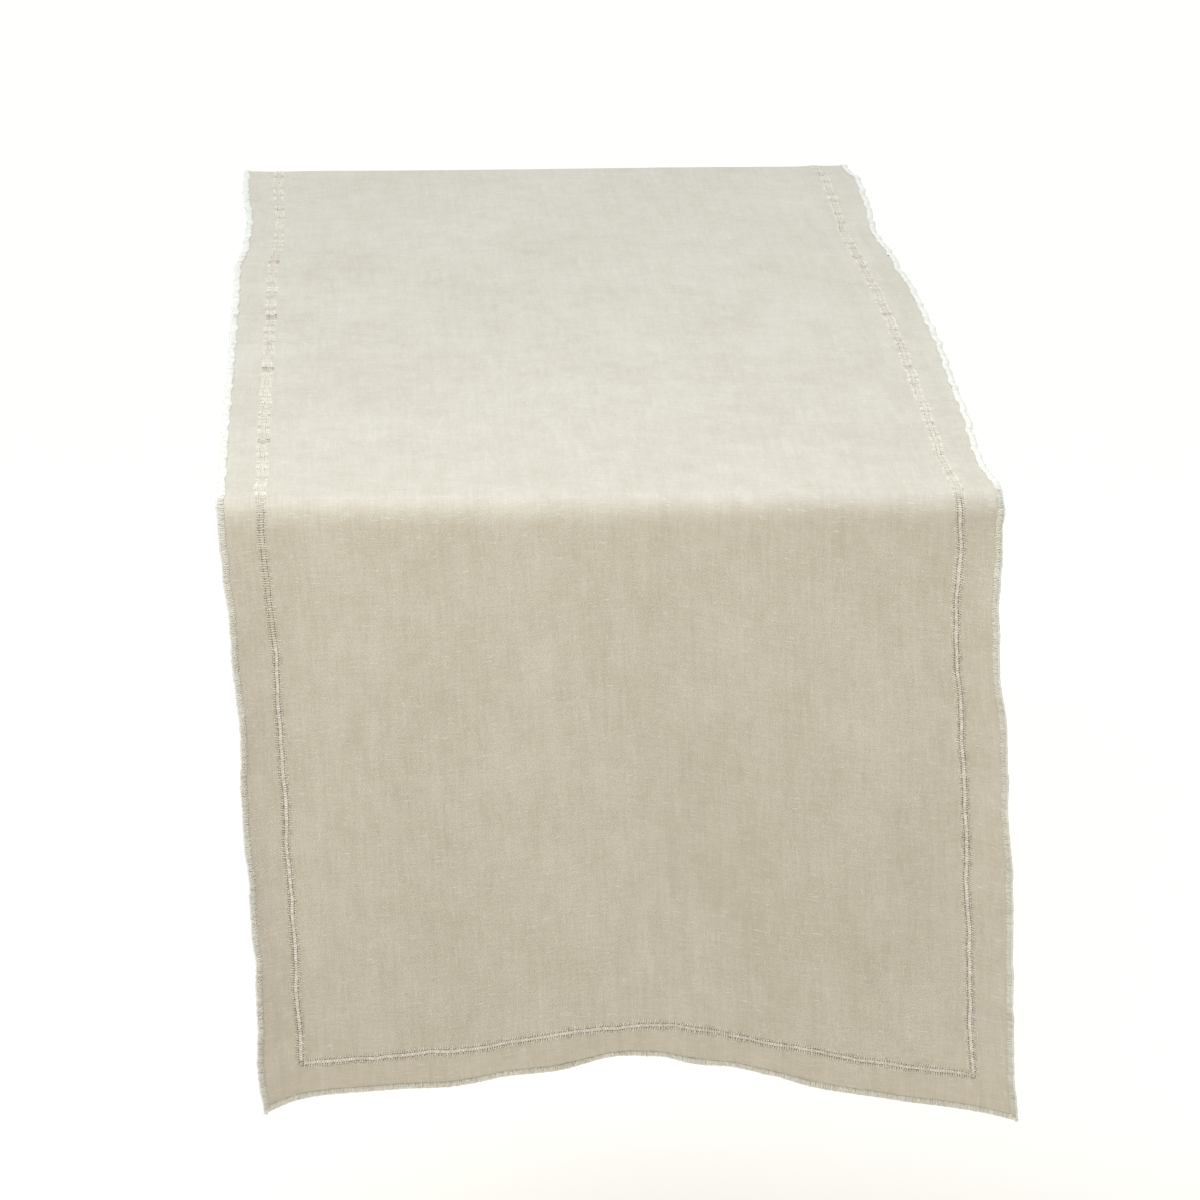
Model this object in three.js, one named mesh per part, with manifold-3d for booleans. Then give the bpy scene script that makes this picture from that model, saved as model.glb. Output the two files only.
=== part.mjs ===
// A hemstitched linen table runner, laid across a table with both ends hanging.
//
// Millimetres. +X runs along the table's front edge, +Y towards its back and +Z up.
// The origin is the middle of the face that rests on the table top.
//
// Every piece is drawn on the flat cloth first, as a tailor would: u runs across the
// cloth from its centre line, v along it from its middle, and h up through its thickness.
// drape() then lays that flat drawing over the table.

import * as THREE from "three";
import { mergeVertices } from "three/addons/utils/BufferGeometryUtils.js";
import Module from "manifold-3d";

// ---------------------------------------------------------------- driving sizes

const CLOTH_WIDTH = 406; // over the stitched side edges
const CLOTH_LENGTH = 1524; // over the stitched end edges
const CLOTH_THICKNESS = 0.6;

const TABLE_DEPTH = 870; // front edge to back edge of the table that it lies on
const FOLD_RADIUS = 14; // underside of the cloth where it turns over a table edge
const END_SHIFT = 4; // how far the cloth lies towards the back from being centred
const WEFT_BOW = 23; // how far the middle of each weft thread sits behind its ends
const WEFT_SKEW = 13; // how far each weft's left end sits behind its right end

const EDGING_WIDTH = 3.2; // the overlock stitching that binds the raw edge
const EDGING_THICKNESS = 1.6;
const TAIL_LENGTH = 5; // the knotted end of the edging threads at each corner
const TAIL_DIAMETER = 1.4;
const TAIL_BEND = 0.4; // how far a tail bows out sideways

const HEMSTITCH_INSET = 22; // outer edge to the middle of the ladder row
const LADDER_WIDTH = 4; // the band from which the lengthwise threads are drawn
const CORNER_TACK = 4; // whole cloth left at a corner, from where the rows would cross
const STITCH_THREAD = 0.5; // hemstitch thread along both sides of a ladder
const STITCH_HEIGHT = 0.9;

const CLEARANCE = 0.3; // between pieces that touch

// How each hanging end falls. lean: sideways for each millimetre down. dish: how far the
// side edges stand out from the middle at the hem. curl: how far the borders roll out.
// narrowing: the share of the width that the rolled borders take up.
const FRONT_END = { side: -1, lean: 0.045, dish: 18, curl: 16, narrowing: 0.022 };
const BACK_END = { side: 1, lean: -0.02, dish: 12, curl: 11, narrowing: 0.014 };
const CURL_RUN = 110; // below the fold, where the borders have rolled out in full
const CURL_POWER = 10; // how close to the side edge the roll stays

// Facets.
const MIDDLE_STEPS = 12; // across the cloth, between the two borders
const BORDER_STEPS = 3; // across each border
const DROP_STEPS = 12;
const FOLD_STEPS = 6;
const SPAN_STEPS = 2;
const TAIL_STEPS = 6;
const TAIL_SIDES = 8;

// ------------------------------------------------------------- what follows from them

const HALF_WIDTH = CLOTH_WIDTH / 2;
const HALF_LENGTH = CLOTH_LENGTH / 2;
const WOVEN_HALF_WIDTH = HALF_WIDTH - EDGING_WIDTH - CLEARANCE;
const WOVEN_HALF_LENGTH = HALF_LENGTH - EDGING_WIDTH - CLEARANCE;
const SPAN_HALF = TABLE_DEPTH / 2 - FOLD_RADIUS;
const FOLD_RUN = (Math.PI / 2) * (FOLD_RADIUS + CLOTH_THICKNESS / 2);
const DROP_LENGTH = HALF_LENGTH - SPAN_HALF - FOLD_RUN;
const BAR_LENGTH = LADDER_WIDTH - 2 * STITCH_THREAD - 4 * CLEARANCE;
const BORDER_U = HALF_WIDTH - HEMSTITCH_INSET - LADDER_WIDTH; // where the borders start
const ROW_U = HALF_WIDTH - HEMSTITCH_INSET;
const ROW_V = HALF_LENGTH - HEMSTITCH_INSET;

const LINEN = new THREE.MeshStandardMaterial({ color: 0xd9d3c2, roughness: 0.95, metalness: 0 });
const STITCHES = new THREE.MeshStandardMaterial({ color: 0xe3dccb, roughness: 0.85, metalness: 0 });
const EDGING = new THREE.MeshStandardMaterial({ color: 0xdadac8, roughness: 0.8, metalness: 0 });

// --------------------------------------------------------------------- the drape

// How far the weft thread through (u, 0) sits from the table's centre line.
function weftShift(u) {
  const q = u / HALF_WIDTH;
  return END_SHIFT + WEFT_BOW * (1 - q * q) - (WEFT_SKEW * q) / 2;
}

// A point on the underside of a hanging end, s below the end of the fold.
function hang(end, u, s) {
  const q = u / HALF_WIDTH;
  const fall = s / DROP_LENGTH;
  const rolled = THREE.MathUtils.smoothstep(s, 0, CURL_RUN);
  const out = end.dish * q * q * fall * fall + end.curl * rolled * q ** CURL_POWER;
  const x = u * (1 - end.narrowing * rolled) + end.lean * s;
  return new THREE.Vector3(x, end.side * (TABLE_DEPTH / 2 + out), -FOLD_RADIUS - s);
}

// The outward direction of the hanging cloth at the same point.
function hangNormal(end, u, s) {
  const step = 0.01;
  const across = hang(end, u + step, s).sub(hang(end, u - step, s));
  const down = hang(end, u, s + step).sub(hang(end, u, Math.max(s - step, 0)));
  return across.cross(down).multiplyScalar(end.side).normalize();
}

// Where a point of the flat cloth lies once the runner is on the table.
function drape(u, v, h) {
  const along = v + weftShift(u);
  const end = along < 0 ? FRONT_END : BACK_END;
  const past = Math.abs(along) - SPAN_HALF;
  if (past <= 0) return new THREE.Vector3(u, along, h);
  if (past <= FOLD_RUN) {
    const turned = (past / FOLD_RUN) * (Math.PI / 2);
    const reach = (FOLD_RADIUS + h) * Math.sin(turned);
    const height = (FOLD_RADIUS + h) * Math.cos(turned) - FOLD_RADIUS;
    return new THREE.Vector3(u, end.side * (SPAN_HALF + reach), height);
  }
  const s = past - FOLD_RUN;
  return hang(end, u, s).addScaledVector(hangNormal(end, u, s), h);
}

// ------------------------------------------------- flat pieces, cut and then draped

// Evenly spaced values from one side to the other, both included.
function evenly(from, to, steps) {
  return Array.from({ length: steps + 1 }, (_, i) => from + ((to - from) * i) / steps);
}

// The cloth's own columns of facets, closer together where the borders roll.
const CLOTH_COLUMNS = [
  ...evenly(-WOVEN_HALF_WIDTH, -BORDER_U, BORDER_STEPS).slice(0, -1),
  ...evenly(-BORDER_U, BORDER_U, MIDDLE_STEPS),
  ...evenly(BORDER_U, WOVEN_HALF_WIDTH, BORDER_STEPS).slice(1),
];

// The columns of facets of a crosswise piece: its two sides, and the cloth's between them.
function columnsBetween(left, right) {
  const inside = CLOTH_COLUMNS.filter((u) => u > left + CLEARANCE && u < right - CLEARANCE);
  return [left, ...inside, right];
}

// The rows of facets of a piece that runs from one hanging end to the other. Each is a
// function of u, because the folds and the weft threads don't run quite side by side.
function rowsAlong(front, back) {
  const rows = [];
  const foldEnd = SPAN_HALF + FOLD_RUN;
  for (let i = 0; i < DROP_STEPS; i += 1) {
    rows.push((u) => THREE.MathUtils.lerp(front, -foldEnd - weftShift(u), i / DROP_STEPS));
  }
  for (let i = 0; i < FOLD_STEPS; i += 1) {
    rows.push((u) => -foldEnd + (FOLD_RUN * i) / FOLD_STEPS - weftShift(u));
  }
  for (let i = 0; i < SPAN_STEPS; i += 1) {
    rows.push((u) => -SPAN_HALF + (2 * SPAN_HALF * i) / SPAN_STEPS - weftShift(u));
  }
  for (let i = 0; i < FOLD_STEPS; i += 1) {
    rows.push((u) => SPAN_HALF + (FOLD_RUN * i) / FOLD_STEPS - weftShift(u));
  }
  for (let i = 0; i <= DROP_STEPS; i += 1) {
    rows.push((u) => THREE.MathUtils.lerp(foldEnd - weftShift(u), back, i / DROP_STEPS));
  }
  return rows;
}

// A closed solid of cloth or thread: a box of facets laid out flat, then draped.
function drapedPiece(columns, rows, bottom, top) {
  const across = columns.length - 1;
  const along = rows.length - 1;
  const geometry = new THREE.BoxGeometry(1, 1, 1, across, along, 1);
  const places = geometry.getAttribute("position");
  for (let i = 0; i < places.count; i += 1) {
    const u = columns[Math.round((places.getX(i) + 0.5) * across)];
    const v = rows[Math.round((places.getY(i) + 0.5) * along)](u);
    const h = places.getZ(i) > 0 ? top : bottom;
    const point = drape(u, v, h);
    places.setXYZ(i, point.x, point.y, point.z);
  }
  geometry.deleteAttribute("normal");
  geometry.deleteAttribute("uv");
  return geometry;
}

// A piece that runs along the cloth, between two u values.
function lengthwise(left, right, front, back, bottom, top) {
  return drapedPiece([left, right], rowsAlong(front, back), bottom, top);
}

// A piece that runs across the cloth on one hanging end, between two v values.
function crosswise(left, right, front, back, bottom, top) {
  return drapedPiece(columnsBetween(left, right), [() => front, () => back], bottom, top);
}

// ------------------------------------------------------------------ the ladder rows

// The band of one ladder row: lengthwise rows stand at -ROW_U and ROW_U, crosswise rows
// at -ROW_V and ROW_V. from and to are offsets from the row's centre line.
function ladderBand(row, from, to, ease, bottom, top) {
  const trim = CORNER_TACK + ease;
  if (row.lengthwise) {
    return lengthwise(row.at + from, row.at + to, trim - ROW_V, ROW_V - trim, bottom, top);
  }
  return crosswise(trim - ROW_U, ROW_U - trim, row.at + from, row.at + to, bottom, top);
}

const LADDER_ROWS = [
  { name: "left", lengthwise: true, at: -ROW_U, outward: -1 },
  { name: "right", lengthwise: true, at: ROW_U, outward: 1 },
  { name: "front", lengthwise: false, at: -ROW_V, outward: -1 },
  { name: "back", lengthwise: false, at: ROW_V, outward: 1 },
];

// ------------------------------------------------------------------ joining and cutting

const wasm = await Module();
wasm.setup();

function solidFrom(geometry) {
  const merged = mergeVertices(geometry, 1e-4);
  const vertProperties = new Float32Array(merged.getAttribute("position").array);
  const triVerts = new Uint32Array(merged.index.array);
  return new wasm.Manifold(new wasm.Mesh({ numProp: 3, vertProperties, triVerts }));
}

function geometryFrom(solid) {
  const mesh = solid.getMesh();
  const geometry = new THREE.BufferGeometry();
  geometry.setAttribute("position", new THREE.BufferAttribute(mesh.vertProperties, 3));
  geometry.setIndex(new THREE.BufferAttribute(mesh.triVerts, 1));
  return geometry;
}

// -------------------------------------------------------------------------- the pieces

// One ply of woven linen, with four slots where the threads are drawn for the ladders.
function linenCloth() {
  const columns = columnsBetween(-WOVEN_HALF_WIDTH, WOVEN_HALF_WIDTH);
  const rows = rowsAlong(-WOVEN_HALF_LENGTH, WOVEN_HALF_LENGTH);
  const beyond = 1; // the cutters stand clear of both faces of the cloth
  let cloth = solidFrom(drapedPiece(columns, rows, 0, CLOTH_THICKNESS));
  for (const row of LADDER_ROWS) {
    const half = LADDER_WIDTH / 2;
    const cutter = ladderBand(row, -half, half, 0, -beyond, CLOTH_THICKNESS + beyond);
    cloth = cloth.subtract(solidFrom(cutter));
  }
  return geometryFrom(cloth);
}

// The bundled threads that are left standing across one ladder.
function ladderBars(row) {
  const half = BAR_LENGTH / 2;
  return ladderBand(row, -half, half, CLEARANCE, 0, CLOTH_THICKNESS);
}

// The thread that whips one side of a ladder; towards is 1 for its +u or +v side.
function hemstitchThread(row, towards) {
  const near = BAR_LENGTH / 2 + CLEARANCE;
  const far = near + STITCH_THREAD;
  const from = towards > 0 ? near : -far;
  const to = towards > 0 ? far : -near;
  return ladderBand(row, from, to, CLEARANCE, 0, STITCH_HEIGHT);
}

// The overlock stitching down one side edge, from corner to corner.
function sideEdging(outward) {
  const inner = outward * (HALF_WIDTH - EDGING_WIDTH);
  const outer = outward * HALF_WIDTH;
  const left = Math.min(inner, outer);
  const right = Math.max(inner, outer);
  return lengthwise(left, right, -HALF_LENGTH, HALF_LENGTH, 0, EDGING_THICKNESS);
}

// The overlock stitching along one end, between the two side edgings.
function endEdging(outward) {
  const inner = outward * (HALF_LENGTH - EDGING_WIDTH);
  const outer = outward * HALF_LENGTH;
  const front = Math.min(inner, outer);
  const back = Math.max(inner, outer);
  const reach = WOVEN_HALF_WIDTH;
  return crosswise(-reach, reach, front, back, 0, EDGING_THICKNESS);
}

// The knotted end of the edging threads, hanging from one corner.
function edgingTail(sideways, endways) {
  const points = [];
  const rootU = sideways * (HALF_WIDTH - EDGING_WIDTH / 2);
  // The tail leans as it leaves the curled corner, so its root stands off by two clearances.
  const rootV = HALF_LENGTH + 2 * CLEARANCE;
  for (let i = 0; i <= TAIL_STEPS; i += 1) {
    const down = (TAIL_LENGTH * i) / TAIL_STEPS;
    const u = rootU + sideways * TAIL_BEND * Math.sin((Math.PI * down) / TAIL_LENGTH);
    points.push(drape(u, endways * (rootV + down), EDGING_THICKNESS / 2));
  }
  const section = new THREE.Shape();
  section.absarc(0, 0, TAIL_DIAMETER / 2, 0, 2 * Math.PI, false);
  return new THREE.ExtrudeGeometry(section, {
    steps: TAIL_STEPS,
    curveSegments: TAIL_SIDES / 2,
    extrudePath: new THREE.CatmullRomCurve3(points),
  });
}

// -------------------------------------------------------------------------- the runner

const runner = new THREE.Group();

function addPiece(name, geometry, material) {
  geometry.computeVertexNormals();
  const mesh = new THREE.Mesh(geometry, material.clone());
  mesh.name = name;
  runner.add(mesh);
}

addPiece("linen_cloth", linenCloth(), LINEN);

for (const row of LADDER_ROWS) {
  addPiece(`ladder_bars_${row.name}`, ladderBars(row), LINEN);
  addPiece(`hemstitch_${row.name}_outer`, hemstitchThread(row, row.outward), STITCHES);
  addPiece(`hemstitch_${row.name}_inner`, hemstitchThread(row, -row.outward), STITCHES);
}

for (const [name, outward] of [["left", -1], ["right", 1]]) {
  addPiece(`edging_${name}`, sideEdging(outward), EDGING);
}

for (const [name, outward] of [["front", -1], ["back", 1]]) {
  addPiece(`edging_${name}`, endEdging(outward), EDGING);
}

for (const [end, endways] of [["front", -1], ["back", 1]]) {
  for (const [side, sideways] of [["left", -1], ["right", 1]]) {
    addPiece(`edging_tail_${end}_${side}`, edgingTail(sideways, endways), EDGING);
  }
}

export default runner;
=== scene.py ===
"""A hemstitched linen table runner, laid across a table with both ends hanging.

Everything is in metres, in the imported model's frame: +X along the table's front edge, +Y to
its back and +Z up, with the origin on the face that rests on the table top.

Each piece is drawn on the flat cloth first: u runs across it from its centre line, v along it
from its middle. A Drape then lays the flat drawing over the table.
"""
import logging
import math
from dataclasses import dataclass, field
from enum import Enum
from typing import Any, Callable, Sequence

import bpy
import numpy as np
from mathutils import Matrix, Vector


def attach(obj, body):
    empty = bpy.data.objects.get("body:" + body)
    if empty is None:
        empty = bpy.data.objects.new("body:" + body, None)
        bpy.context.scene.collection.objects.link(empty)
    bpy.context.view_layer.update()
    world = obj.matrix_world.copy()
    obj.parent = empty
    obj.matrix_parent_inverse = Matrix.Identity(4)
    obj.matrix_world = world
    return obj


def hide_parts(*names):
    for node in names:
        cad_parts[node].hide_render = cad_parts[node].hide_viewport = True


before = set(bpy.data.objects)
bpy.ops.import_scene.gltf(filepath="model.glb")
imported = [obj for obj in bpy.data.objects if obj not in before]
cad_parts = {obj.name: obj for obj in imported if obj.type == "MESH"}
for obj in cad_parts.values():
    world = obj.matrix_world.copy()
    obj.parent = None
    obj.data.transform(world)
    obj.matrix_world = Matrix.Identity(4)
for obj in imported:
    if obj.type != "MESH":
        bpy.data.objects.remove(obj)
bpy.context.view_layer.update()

log = logging.getLogger("table_runner")

MM = 0.001
BODY = "root"
Array = np.ndarray
Colour = tuple[float, float, float, float]


# ---------------------------------------------------------------- sizes of the cut cloth


@dataclass(frozen=True)
class Pattern:
    """The runner as it is cut and sewn, lying flat."""

    width: float = 406 * MM
    length: float = 1524 * MM
    thickness: float = 0.6 * MM
    edging_width: float = 3.2 * MM
    edging_thickness: float = 1.6 * MM
    ladder_inset: float = 22 * MM
    open_width: float = 2.5 * MM
    corner_tack: float = 2 * MM

    @property
    def half_width(self) -> float:
        """Centre line to the outside of a side edge."""
        return self.width / 2

    @property
    def half_length(self) -> float:
        """Middle to the outside of an end edge."""
        return self.length / 2

    @property
    def row_u(self) -> float:
        """Centre line to the middle of a lengthwise ladder."""
        return self.half_width - self.ladder_inset

    @property
    def row_v(self) -> float:
        """Middle to the middle of a crosswise ladder."""
        return self.half_length - self.ladder_inset


@dataclass(frozen=True)
class Table:
    """The table that the runner was laid on, which isn't part of it."""

    depth: float = 870 * MM
    fold_radius: float = 14 * MM


class Edge(Enum):
    """The four edges of the cloth: name, whether it runs lengthwise, and its outward sign."""

    LEFT = ("left", True, -1)
    RIGHT = ("right", True, 1)
    FRONT = ("front", False, -1)
    BACK = ("back", False, 1)

    @property
    def label(self) -> str:
        """The edge's name in piece and node names."""
        return self.value[0]

    @property
    def lengthwise(self) -> bool:
        """True for the two side edges."""
        return self.value[1]

    @property
    def outward(self) -> int:
        """-1 towards the left or the front, 1 towards the right or the back."""
        return self.value[2]


# ------------------------------------------------------------------------ how it drapes


@dataclass(frozen=True)
class HangingEnd:
    """How one end of the runner falls from the table's edge.

    lean is sideways travel for each metre down. dish is how far the sides stand out from the
    middle at the hem. curl is the slope of the rolled borders, and narrowing the share of the
    width that they take up. sway is the height of the broad fold beside the middle.
    """

    lean: float
    dish: float
    curl: float
    narrowing: float
    sway: float


@dataclass(frozen=True)
class Wave:
    """One sine wave: its length, its height from the middle, and where it starts."""

    length: float
    height: float
    phase: float

    def at(self, along: Array) -> Array:
        """The wave's height at distances along it."""
        return self.height * np.sin(2 * math.pi * along / self.length + self.phase)


@dataclass(frozen=True)
class Wrinkle:
    """A short soft fold between two points of the flat cloth.

    start and end are (u, v). height may be negative, for a groove.
    """

    start: tuple[float, float]
    end: tuple[float, float]
    height: float
    width: float

    def at(self, u: Array, v: Array) -> Array:
        """The wrinkle's height at points of the flat cloth, tapered towards both its ends."""
        a = np.array(self.start)
        run = np.array(self.end) - a
        span = float(np.dot(run, run))
        t = ((u - a[0]) * run[0] + (v - a[1]) * run[1]) / span
        away = np.abs((u - a[0]) * run[1] - (v - a[1]) * run[0]) / math.sqrt(span)
        taper = np.sin(math.pi * np.clip(t, 0, 1)) ** 0.8
        return self.height * taper * np.exp(-((away / self.width) ** 2))


def smoothstep(x: Array, low: float, high: float) -> Array:
    """0 below low, 1 above high, and a smooth rise between."""
    t = np.clip((x - low) / (high - low), 0, 1)
    return t * t * (3 - 2 * t)


def soft_ramp(x: Array, softness: float) -> Array:
    """max(x, 0) with its corner rounded over about softness."""
    return softness * np.logaddexp(0, x / softness)


def eased(x: Array, stations: Sequence[tuple[float, float]]) -> Array:
    """A curve through (place, value) stations that levels off at each of them."""
    places = np.array([s[0] for s in stations])
    values = np.array([s[1] for s in stations])
    i = np.clip(np.searchsorted(places, x) - 1, 0, len(places) - 2)
    t = smoothstep((x - places[i]) / (places[i + 1] - places[i]), 0, 1)
    return values[i] + (values[i + 1] - values[i]) * t


@dataclass(frozen=True)
class Ridge:
    """A soft ridge that runs down a hanging end: its place across, its width and its share."""

    centre: float
    width: float
    share: float

    def at(self, u: Array) -> Array:
        """The ridge's height at places across the cloth."""
        return self.share * np.exp(-(((u - self.centre) / self.width) ** 2))


@dataclass(frozen=True)
class BorderRoll:
    """One part of the slope of a rolled side border.

    share is its part of the slope, start how far outside the ladder it begins, and softness
    the distance over which it sets in.
    """

    share: float
    start: float
    softness: float

    def at(self, past_row: Array) -> Array:
        """How far the border has rolled, at distances outside the ladder."""
        return self.share * soft_ramp(past_row - self.start, self.softness)


@dataclass(frozen=True)
class Relief:
    """Ripples, puckers, creases and wrinkles that stand out of the smooth drape.

    The reaches are how far each kind carries in from an edge or a row. The two offsets start
    the waves elsewhere on the opposite side, so that no two sides are alike.
    """

    hang_run: float = 40 * MM
    ripple_reach: float = 16 * MM
    ripple_offset: float = 0.37
    swell_reach: float = 19 * MM
    swell_offset: float = 0.2
    pucker_reach: float = 8 * MM
    crease_width: float = 2.2 * MM
    crease_reach: float = 45 * MM
    crease_base: float = 0.25
    laid_ripple: float = 0.75
    laid_broad: float = 0.5
    laid_softness: float = 0.3 * MM

    def height(self, pattern: Pattern, fallen: Array, u: Array, v: Array) -> Array:
        """The relief at points of the flat cloth.

        Args:
            pattern: the flat cloth.
            fallen: how far below its fold each point hangs.
            u: places across the cloth.
            v: places along it.

        Returns:
            Heights above the smooth drape.
        """
        hanging = smoothstep(fallen, 0, self.hang_run)
        side_in = pattern.half_width - np.abs(u)
        end_in = pattern.half_length - np.abs(v)
        run = v + self.ripple_offset * np.sign(u)
        # Rippled side borders, which the edging thread has drawn up a little.
        ripple = sum(w.at(run) for w in BORDER_RIPPLES) * np.exp(-side_in / self.ripple_reach)
        # The end borders wave in longer swells.
        across = u + self.swell_offset * np.sign(v)
        swell = sum(w.at(across) for w in HEM_SWELLS) * np.exp(-end_in / self.swell_reach)
        # The drawn rows are tighter than the cloth beside them and pucker it.
        side_pucker = self.pucker(run, np.abs(np.abs(u) - pattern.row_u))
        end_pucker = self.pucker(u, np.abs(np.abs(v) - pattern.row_v))
        # Broad unevenness of a cloth that was folded and then laid out by hand.
        broad = sum(a.at(u + 0.3 * v) * b.at(v - 0.2 * u) for a, b in BROAD_UNEVENNESS)
        folds = sum(w.at(u, v) for w in WRINKLES)
        for place, height in CREASES:
            near = np.exp(-np.abs(v - place) / self.crease_width)
            carried = (1 - self.crease_base) * np.exp(-side_in / self.crease_reach)
            folds = folds + height * near * (self.crease_base + carried)
        loose = hanging * (ripple + swell + broad)
        # On the table top the cloth can only rise from the wood, never sink into it.
        risen = np.abs(ripple) * self.laid_ripple + soft_ramp(broad, self.laid_softness) * self.laid_broad
        return loose + (1 - hanging) * risen + side_pucker + end_pucker + folds

    def pucker(self, along: Array, away: Array) -> Array:
        """Puckers beside a drawn row, at distances along it and away from it."""
        return sum(w.at(along) for w in ROW_PUCKERS) * np.exp(-((away / self.pucker_reach) ** 2))


@dataclass
class Drape:
    """Lays the flat cloth over the table and gives it its folds, ripples and wrinkles.

    end_shift is how far the cloth lies towards the back from being centred, and weft_bow and
    weft_skew are how its weft threads bow and slant. peak_* shape the sharper middle of that
    bow. roll_run is the drop over which the borders roll out, and hem_* where the end border
    tilts. corner_* pull the left corners down. *_wander are (place along, sideways travel)
    stations of the side edges.
    """

    pattern: Pattern
    table: Table
    relief: Relief = Relief()
    end_shift: float = 0.0
    weft_bow: float = 22.5 * MM
    weft_skew: float = 15 * MM
    peak_share: float = 0.72
    peak_width: float = 0.345
    peak_u: float = 3 * MM
    roll_run: float = 60 * MM
    roll_lead: float = 0.2
    sway_power: float = 1.5
    hem_start: float = 2 * MM
    hem_softness: float = 3 * MM
    corner_dip: float = 2.2 * MM
    corner_from: float = 0.86
    corner_run: float = 9 * MM
    row_grip: float = 7 * MM
    row_offsets: tuple[float, float] = (0.11, 0.23)
    wander_power: int = 4
    wobble_power: int = 14
    wobble_offset: float = 0.17
    wobble_calm: float = 0.6
    front: HangingEnd = HangingEnd(lean=0.045, dish=0.018, curl=0.62, narrowing=0.017, sway=0.007)
    back: HangingEnd = HangingEnd(lean=-0.02, dish=0.012, curl=0.42, narrowing=0.011, sway=-0.005)
    ridges: Sequence[Ridge] = (Ridge(-12 * MM, 46 * MM, 1.0), Ridge(72 * MM, 52 * MM, -1.0))
    border_rolls: Sequence[BorderRoll] = (
        BorderRoll(0.45, -3 * MM, 6 * MM), BorderRoll(0.55, 9 * MM, 4 * MM),
    )
    left_wander: Sequence[tuple[float, float]] = (
        (-0.78, 0.0), (-0.60, 0.0008), (-0.43, 0.0), (-0.25, -0.001), (0.0, -0.0012),
        (0.12, -0.0022), (0.18, 0.0018), (0.25, 0.0028), (0.37, -0.002), (0.78, 0.0),
    )
    right_wander: Sequence[tuple[float, float]] = (
        (-0.78, 0.0), (-0.57, 0.0012), (-0.52, -0.0015), (-0.43, 0.0), (-0.37, -0.003),
        (-0.25, 0.001), (-0.09, 0.0045), (0.03, 0.0048), (0.13, 0.0012), (0.21, -0.0025),
        (0.30, 0.001), (0.37, 0.003), (0.42, -0.0025), (0.78, 0.0),
    )

    @property
    def span_half(self) -> float:
        """Middle of the table to where the cloth starts to turn over its edge."""
        return self.table.depth / 2 - self.table.fold_radius

    @property
    def fold_run(self) -> float:
        """Length of cloth in one quarter turn."""
        return math.pi / 2 * (self.table.fold_radius + self.pattern.thickness / 2)

    @property
    def drop(self) -> float:
        """Mean length of cloth that hangs below a fold."""
        return self.pattern.half_length - self.span_half - self.fold_run

    def weft_shift(self, u: Array) -> Array:
        """How far the weft thread through (u, 0) sits from the table's centre line."""
        q = u / self.pattern.half_width
        off = (u - self.peak_u) / self.pattern.half_width
        peak = self.peak_share * np.exp(-((off / self.peak_width) ** 2))
        bow = peak + (1 - self.peak_share) * (1 - q * q)
        return self.end_shift + self.weft_bow * bow - self.weft_skew * q / 2

    def fallen(self, u: Array, v: Array) -> Array:
        """How far below the end of its fold each point of the cloth hangs."""
        return np.maximum(np.abs(v + self.weft_shift(u)) - self.span_half - self.fold_run, 0)

    def beside_rows(self, u: Array, v: Array) -> tuple[Array, Array]:
        """Flat points, moved with the drawn rows, which wander a little."""
        pattern = self.pattern
        by_side_row = np.exp(-(((np.abs(u) - pattern.row_u) / self.row_grip) ** 2))
        by_end_row = np.exp(-(((np.abs(v) - pattern.row_v) / self.row_grip) ** 2))
        side_run = v + self.row_offsets[0] * np.sign(u)
        end_run = u + self.row_offsets[1] * np.sign(v)
        moved_u = u + sum(w.at(side_run) for w in ROW_WANDER) * by_side_row
        moved_v = v + sum(w.at(end_run) for w in ROW_WANDER) * by_end_row
        return moved_u, moved_v

    def smooth(self, u: Array, v: Array) -> Array:
        """Places of flat points on the drape's underside, before ripples and wrinkles."""
        pattern, radius = self.pattern, self.table.fold_radius
        u, v = self.beside_rows(u, v)
        along = v + self.weft_shift(u)
        front = along < 0
        side = np.where(front, -1.0, 1.0)
        past = np.abs(along) - self.span_half
        turned = np.clip(past / self.fold_run, 0, 1) * math.pi / 2
        s = np.maximum(past - self.fold_run, 0)

        def of(name: str) -> Array:
            """A size of the hanging end that each point is nearer to."""
            return np.where(front, getattr(self.front, name), getattr(self.back, name))

        q = u / pattern.half_width
        fall = s / self.drop
        # Down a hanging end the borders roll, a broad ridge stands out, and the sides dish.
        lead = -self.roll_lead * self.roll_run
        rolled = smoothstep(s, lead, self.roll_run) - smoothstep(np.zeros_like(s), lead, self.roll_run)
        border = sum(roll.at(np.abs(u) - pattern.row_u) for roll in self.border_rolls)
        ridge = sum(r.at(u) for r in self.ridges)
        out = of("dish") * q * q * fall * fall + of("curl") * rolled * border
        out = out + of("sway") * ridge * fall ** self.sway_power
        # The border beyond the ladder tilts back, and the left corners dip.
        hem = soft_ramp(np.abs(v) - pattern.row_v - self.hem_start, self.hem_softness)
        tilt = eased(np.where(front, u, -u), HEM_TILTS)
        out = out + tilt * hem
        s = s - (1 - np.sqrt(1 - tilt * tilt)) * hem
        from_end = pattern.half_length - np.abs(v)
        corner = smoothstep(-q, self.corner_from, 1.0) ** 2 * np.exp(-from_end / self.corner_run)
        s = s + self.corner_dip * corner
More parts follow.
